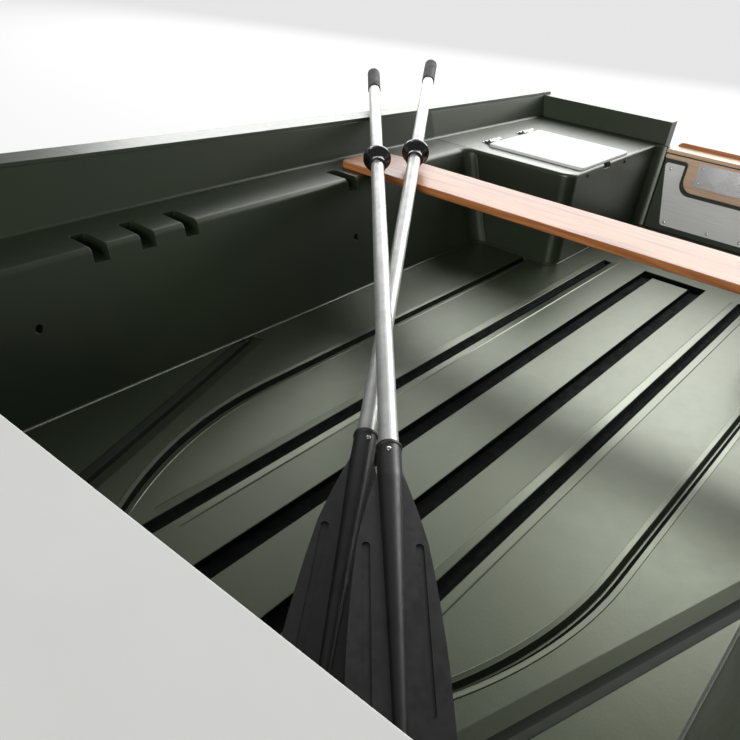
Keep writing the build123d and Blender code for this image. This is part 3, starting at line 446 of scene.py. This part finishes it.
def lip(name, path, width, height, profile=RIDGE, material=None):
    """A low ridge on the floor, or a strip of painted shade in a groove or along the soft step. It begins at
    the path and lies to its left.
    """
    vertices, faces = [], []
    for index, point in enumerate(path):
        tall = height * (END_HEIGHT if index in (0, len(path) - 1) else 1.0)
        before, after = path[max(0, index - 1)], path[min(len(path) - 1, index + 1)]
        run = Vector((after[0] - before[0], after[1] - before[1])).normalized()
        side = Vector((-run.y, run.x))
        for reach, rise in profile:
            z = FLOOR_Z + (rise if rise < 0 else rise * tall)
            vertices.append((point[0] + side.x * reach * width, point[1] + side.y * reach * width, z))
    ring = len(profile)
    for index in range(len(path) - 1):
        here, there = index * ring, (index + 1) * ring
        for step in range(ring):
            turn = (step + 1) % ring
            faces.append((here + step, there + step, there + turn, here + turn))
    faces.append(tuple(range(ring)))
    faces.append(tuple(reversed(range((len(path) - 1) * ring, len(path) * ring))))
    return new_piece(name, vertices, faces, "hull", material or green_small)


TONGUE_AFT_X, TONGUE_BEND_X, TONGUE_HALF = -1.530, -0.500, 0.375
TONGUE_TIP_X, TONGUE_TIP_Y = -0.060, 0.243


def tongue_line(offset):
    """The line of the groove round the long tongue on the port side, moved outboard by offset."""
    wide, steps = TONGUE_HALF + offset, 20
    points = [(TONGUE_AFT_X, wide), (TONGUE_BEND_X, wide)]
    tip_x, tip_y = TONGUE_TIP_X + offset * 0.5, TONGUE_TIP_Y + offset * 0.2
    points += [bend(TONGUE_BEND_X, wide, tip_x, tip_y, step / steps) for step in range(1, steps)]
    return points


def painted_shade_sheet(name, section, x0, x1, material):
    """A near-black sheet of painted shade in one straight channel or groove, a little inside the floor's own
    surface.
    """
    vertices = [(x, y, z) for x in (x0, x1) for y, z in section]
    count = len(section)
    faces = [(step, step + 1, count + step + 1, count + step) for step in range(count - 1)]
    faces += [tuple(range(count)), tuple(reversed(range(count, 2 * count)))]
    return new_piece(name, vertices, faces, "hull", material)


# The channels on both sides of the middle strip, and the V-shaped grooves beside the next strips
CHANNEL_DEPTH = 0.016
CHANNEL_IN, CHANNEL_OUT = 0.051, 0.089
CHANNEL_AFT_X, CHANNEL_BACK_X, CHANNEL_FWD_X = -1.7287, -1.6913, 0.0597
GROOVE_Y, GROOVE_AFT_X, GROOVE_FWD_X = 0.197, -1.709, -0.075
LIP_START, LIP_WIDTH, LIP_HEIGHT = 0.0142, 0.017, 0.0016
LIP_X = (-1.705, -1.640, -0.200, -0.120)
TONGUE_LIP_START, TONGUE_LIP_WIDTH, TONGUE_LIP_HEIGHT = 0.0092, 0.009, 0.0010
SWAGE_ENDS = ((0.112, 0.2973), (-0.600, 0.5426))
SWAGE_OUT = (0.326, 0.945)   # square to the soft step, outboard
SWAGE_RISER, SWAGE_EDGE = 0.012, 0.0005
COVE_R, LOCKER_COVE_R = 0.0045, 0.0058


def square_section(y0, y1):
    skin, soft, rim = 0.0003, 0.003, 0.0012
    y0, y1, low, high = y0 + skin, y1 - skin, FLOOR_Z - CHANNEL_DEPTH + skin, FLOOR_Z - rim
    return [(y0, high), (y0, low + soft), (y0 + soft * 0.3, low + soft * 0.3), (y0 + soft, low),
            (y1 - soft, low), (y1 - soft * 0.3, low + soft * 0.3), (y1, low + soft), (y1, high)]


def valley_section(y):
    half = [(0.0128, 0.0006), (0.0070, 0.0055), (0.0018, 0.0094)]
    return ([(y - away, FLOOR_Z - depth) for away, depth in half]
            + [(y + away, FLOOR_Z - depth) for away, depth in reversed(half)])


# Near-black sheets just inside the channels and grooves: painted shade for their shaded depths
channel_painted_shade = plastic("channel_painted_shade", CHANNEL_PAINTED_SHADE, 0.70, 500.0, 0.1)
channel_painted_shade.node_tree.nodes["Principled BSDF"].inputs["Specular IOR Level"].default_value = 0.04
for side_name, sign in SIDES:
    ends = sorted((sign * CHANNEL_IN, sign * CHANNEL_OUT))
    painted_shade_sheet(f"channel_{side_name}", square_section(*ends), CHANNEL_AFT_X, CHANNEL_FWD_X, channel_painted_shade)
    valley = valley_section(sign * GROOVE_Y)
    painted_shade_sheet(f"groove_{side_name}", valley, GROOVE_AFT_X, GROOVE_FWD_X, channel_painted_shade)
BACK_OVERLAP = 0.0005
across = square_section(-CHANNEL_IN - BACK_OVERLAP, CHANNEL_IN + BACK_OVERLAP)
painted_shade_sheet("channel_aft", across, CHANNEL_AFT_X, CHANNEL_BACK_X, channel_painted_shade)
cove("cove_cockpit", foot_of_cockpit(), FLOOR_Z, COVE_R, green)
cove("cove_bow", foot_of_bow(), FLOOR_Z, COVE_R, green)
for side_name, sign in SIDES:
    for where, toward in (("outer", 1), ("inner", -1)):
        y = sign * (GROOVE_Y + toward * LIP_START)
        line = [(x, y) for x in LIP_X]
        line = line if sign * toward > 0 else line[::-1]
        lip(f"lip_strip_{where}_{side_name}", line, LIP_WIDTH, LIP_HEIGHT)
    for where, toward in (("outer", 1), ("inner", -1)):
        line = [(x, sign * y) for x, y in tongue_line(toward * TONGUE_LIP_START)]
        line = line if sign * toward > 0 else line[::-1]
        lip(f"lip_tongue_{where}_{side_name}", line, TONGUE_LIP_WIDTH, TONGUE_LIP_HEIGHT)
    # The tongue's groove also gets a strip of painted shade
    line = [(x, sign * y) for x, y in tongue_line(0.0)]
    lip(f"groove_tongue_{side_name}", line if sign > 0 else line[::-1], 1.0, 0.0, TONGUE, channel_painted_shade)
    # A dark strip over the soft step's riser on each side, painted shade for the step's shaded face
    outboard = Vector((SWAGE_OUT[0], SWAGE_OUT[1] * sign)) * SWAGE_RISER
    line = [tuple(Vector((x, sign * y)) + outboard) for x, y in SWAGE_ENDS]
    lip(f"swage_{side_name}", line if sign > 0 else line[::-1], 1.0, SWAGE_EDGE, SWAGE, green_painted_shade)

# Coves between the stern lockers' tops and the gunwale's inner wall, which is an arc in plan
GUNWALE_HALF, GUNWALE_X = 0.768, -0.450
GUNWALE_RUN, GUNWALE_DROP, GUNWALE_LEAN = 1.890, 0.066, 0.30
LOCKER_AFT_X, LOCKER_STEPS = -2.155, 12
GUNWALE_R = (GUNWALE_RUN ** 2 + GUNWALE_DROP ** 2) / (2 * GUNWALE_DROP)
for side_name, sign in SIDES:
    back = []
    for step in range(LOCKER_STEPS + 1):
        x = LOCKER_AFT_X + (LOCKER_X - LOCKER_AFT_X) * step / LOCKER_STEPS
        y = GUNWALE_HALF - GUNWALE_R + math.sqrt(GUNWALE_R ** 2 - (x - GUNWALE_X) ** 2)
        back.append((x, sign * y, 0.0, sign * GUNWALE_LEAN))
    if sign > 0:
        back.reverse()
    cove(f"cove_locker_{side_name}", back, LEDGE_Z, LOCKER_COVE_R, green, closed=False)

# Screws, rivets and buffers
PLATE_FACE, CLAMP_FACE, OUTER_PAD_FACE = 0.0461, 0.0651, -0.0179   # forward of the transom's outer face
PLATE_SCREWS = ((0.226, 0.316), (0.192, 0.152), (0.051, 0.152))
CLAMP_SCREWS = ((0.124, 0.297), (0.124, 0.341))
PAD_BOLTS = ((0.120, 0.270), (0.120, 0.345))
HINGE_TOP_Z, BOW_HINGE_TOP_Z, HINGE_SCREWS = 0.3841, 0.4721, (-0.018, 0.018)
STERN_HINGE_XS, STERN_HINGE_Y = (-1.865, -1.665), 0.634
BENCH_HINGE_X, BENCH_HINGE_YS = 0.484, (-0.385, 0.385)
BOW_HINGE_X, BOW_HINGE_YS = 1.562, (-0.130, 0.130)
BUFFER_XS, BUFFER_Y, BUFFER_Z = (-1.640, -1.890), 0.2869, 0.3655


def transom_spots(places, face, aft=False):
    """Places on the transom and their mirror images, with the direction that they face."""
    way = -1 if aft else 1
    out = (way * math.cos(RAKE), 0, way * math.sin(RAKE))
    return [(transom_place(sign * y, z, face), out) for sign in (1, -1) for y, z in places]


heads("screws_plate", transom_spots(PLATE_SCREWS, PLATE_FACE), "hull", steel, 0.0052, 0.0024)
heads("screws_clamp", transom_spots(CLAMP_SCREWS, CLAMP_FACE), "hull", steel, 0.0042, 0.0020)
heads("bolts_pad", transom_spots(PAD_BOLTS, OUTER_PAD_FACE, aft=True), "hull", steel,
      0.0085, 0.0040, 0.5)

up = (0, 0, 1)
hinge_spots = []
for x in STERN_HINGE_XS:
    for sign in (1, -1):
        hinge_spots += [((x + shift, sign * STERN_HINGE_Y, HINGE_TOP_Z), up) for shift in HINGE_SCREWS]
for hinge_x, hinge_ys, z in ((BENCH_HINGE_X, BENCH_HINGE_YS, HINGE_TOP_Z),
                             (BOW_HINGE_X, BOW_HINGE_YS, BOW_HINGE_TOP_Z)):
    hinge_spots += [((hinge_x, y + shift, z), up) for y in hinge_ys for shift in HINGE_SCREWS]
heads("screws_hinges", hinge_spots, "hull", steel, 0.0036, 0.0014)

# The sheer is a long arc, lowest at SHEER_X, and the sockets stand on the rail at SOCKET_X
SHEER_R, SHEER_X, SHEER_LOW_Z, RAIL_HEIGHT = 52.0, -2.480, 0.449, 0.008
SOCKET_X, SOCKET_Y, FLANGE_TOP = -0.200, 0.817, 0.0051
SOCKET_SCREW_ALONG, SOCKET_SCREW_OUT = (-0.035, 0.035), 0.008
slope = math.atan2(SOCKET_X - SHEER_X, SHEER_R)
rail_top = SHEER_LOW_Z + SHEER_R - math.sqrt(SHEER_R ** 2 - (SOCKET_X - SHEER_X) ** 2) + RAIL_HEIGHT
rail_run = Vector((math.cos(slope), 0, math.sin(slope)))
rail_up = Vector((-math.sin(slope), 0, math.cos(slope)))
socket_spots = []
for sign in (1, -1):
    for along in SOCKET_SCREW_ALONG:
        place = Vector((SOCKET_X, sign * (SOCKET_Y + SOCKET_SCREW_OUT), rail_top))
        socket_spots.append((place + rail_run * along + rail_up * FLANGE_TOP, rail_up))
heads("screws_sockets", socket_spots, "hull", steel, 0.0050, 0.0022)

# Places of the looms' ends, the first of them LOOM_START from the blade's tip, and the rivets' place
LOOM_START, RIVET_AT, RIVET_OUT = 0.380, 0.462, 0.0184
RIVET_TURN = {"lower": 18, "upper": -8}
LOOMS = {"lower": ((-0.30532, 0.02494, 0.20685), (-1.63387, -0.85574, 0.56643)),
         "upper": ((-0.27995, 0.10575, 0.24103), (-1.48605, -0.95646, 0.53596))}
for oar_name, (low_end, high_end) in LOOMS.items():
    along = (Vector(high_end) - Vector(low_end)).normalized()
    spots = []
    for turn in (0, 180):
        out = Vector((0, 0, 1)) - along * along.z
        out = Matrix.Rotation(math.radians(turn + RIVET_TURN[oar_name]), 3, along) @ out.normalized()
        spots.append((Vector(low_end) + along * (RIVET_AT - LOOM_START) + out * RIVET_OUT, out))
    heads(f"rivets_{oar_name}", spots, f"{oar_name}_oar", steel, 0.0040, 0.0016, 0)

buffer_spots = [((x, sign * BUFFER_Y, BUFFER_Z), (0, -sign, 0)) for x in BUFFER_XS for sign in (1, -1)]
heads("buffers_lockers", buffer_spots, "hull", black_rubber, 0.0060, 0.0030, 0)

# Studio
FLOOR_SIZE = 260.0
FLOOR_GLOW, FLOOR_GLOW_PART = 0.95, 0.78
SKY_LOW, SKY_HIGH = (0.04, 0.80), (0.28, 0.26)   # height of the direction, and grey
# Name, place, what it points at, width, height and watts
LAMPS = [("softbox_aft", (-5.33, -1.84, 2.30), (-0.8, -0.2, 0.1), 9.0, 2.8, 425),
         ("softbox_port", (-3.96, 0.08, 2.55), (-0.83, 0.37, 0.12), 1.6, 0.9, 42),
         ("softbox_fore", (4.0, 1.2, 1.7), (-1.8, 0.0, 0.3), 3.0, 2.0, 168)]


def add_floor():
    size = FLOOR_SIZE
    mesh = bpy.data.meshes.new("studio_floor")
    corners = [(-size, -size, 0), (size, -size, 0), (size, size, 0), (-size, size, 0)]
    mesh.from_pydata(corners, [], [(0, 1, 2, 3)])
    floor = bpy.data.objects.new("studio_floor", mesh)
    bpy.context.scene.collection.objects.link(floor)
    tree = Tree("studio_floor")
    tree.set(Base_Color=STUDIO_FLOOR, Roughness=0.9)
    shine = tree.nodes.new("ShaderNodeEmission")
    shine.inputs["Strength"].default_value = FLOOR_GLOW
    path = tree.nodes.new("ShaderNodeLightPath")
    seen = path.outputs["Is Camera Ray"]
    for ray in ("Is Glossy Ray", "Is Transmission Ray"):
        either = tree.nodes.new("ShaderNodeMath")
        either.operation = "MAXIMUM"
        tree.links.new(seen, either.inputs[0])
        tree.links.new(path.outputs[ray], either.inputs[1])
        seen = either.outputs[0]
    part_seen = tree.nodes.new("ShaderNodeMath")
    part_seen.operation = "MULTIPLY"
    part_seen.inputs[1].default_value = FLOOR_GLOW_PART
    tree.links.new(seen, part_seen.inputs[0])
    choose = tree.nodes.new("ShaderNodeMixShader")
    output = next(node for node in tree.nodes if node.type == "OUTPUT_MATERIAL")
    tree.links.new(part_seen.outputs[0], choose.inputs[0])
    tree.links.new(tree.shader.outputs["BSDF"], choose.inputs[1])
    tree.links.new(shine.outputs[0], choose.inputs[2])
    tree.links.new(choose.outputs[0], output.inputs["Surface"])
    mesh.materials.append(tree.material)


def add_world():
    world = bpy.data.worlds.new("studio")
    bpy.context.scene.world = world
    world.use_nodes = True
    tree = world.node_tree
    tree.nodes.clear()
    output = tree.nodes.new("ShaderNodeOutputWorld")
    light = tree.nodes.new("ShaderNodeBackground")
    place = tree.nodes.new("ShaderNodeTexCoord")
    split = tree.nodes.new("ShaderNodeSeparateXYZ")
    ramp = tree.nodes.new("ShaderNodeValToRGB")
    for element, (height, grey) in zip(ramp.color_ramp.elements, (SKY_LOW, SKY_HIGH)):
        element.position, element.color = height, (grey, grey, grey, 1)
    tree.links.new(place.outputs["Generated"], split.inputs["Vector"])
    tree.links.new(split.outputs["Z"], ramp.inputs["Fac"])
    tree.links.new(ramp.outputs["Color"], light.inputs["Color"])
    tree.links.new(light.outputs[0], output.inputs["Surface"])


def add_light(name, place, target, width, height, power):
    data = bpy.data.lights.new(name, "AREA")
    data.shape = "RECTANGLE"
    data.size = width
    data.size_y = height
    data.energy = power
    lamp = bpy.data.objects.new(name, data)
    lamp.visible_camera = False
    lamp.location = place
    aim = Vector(target) - Vector(place)
    lamp.rotation_euler = aim.to_track_quat("-Z", "Y").to_euler()
    bpy.context.scene.collection.objects.link(lamp)


add_floor()
add_world()
for lamp_values in LAMPS:
    add_light(*lamp_values)
bpy.context.scene.view_settings.view_transform = "Standard"
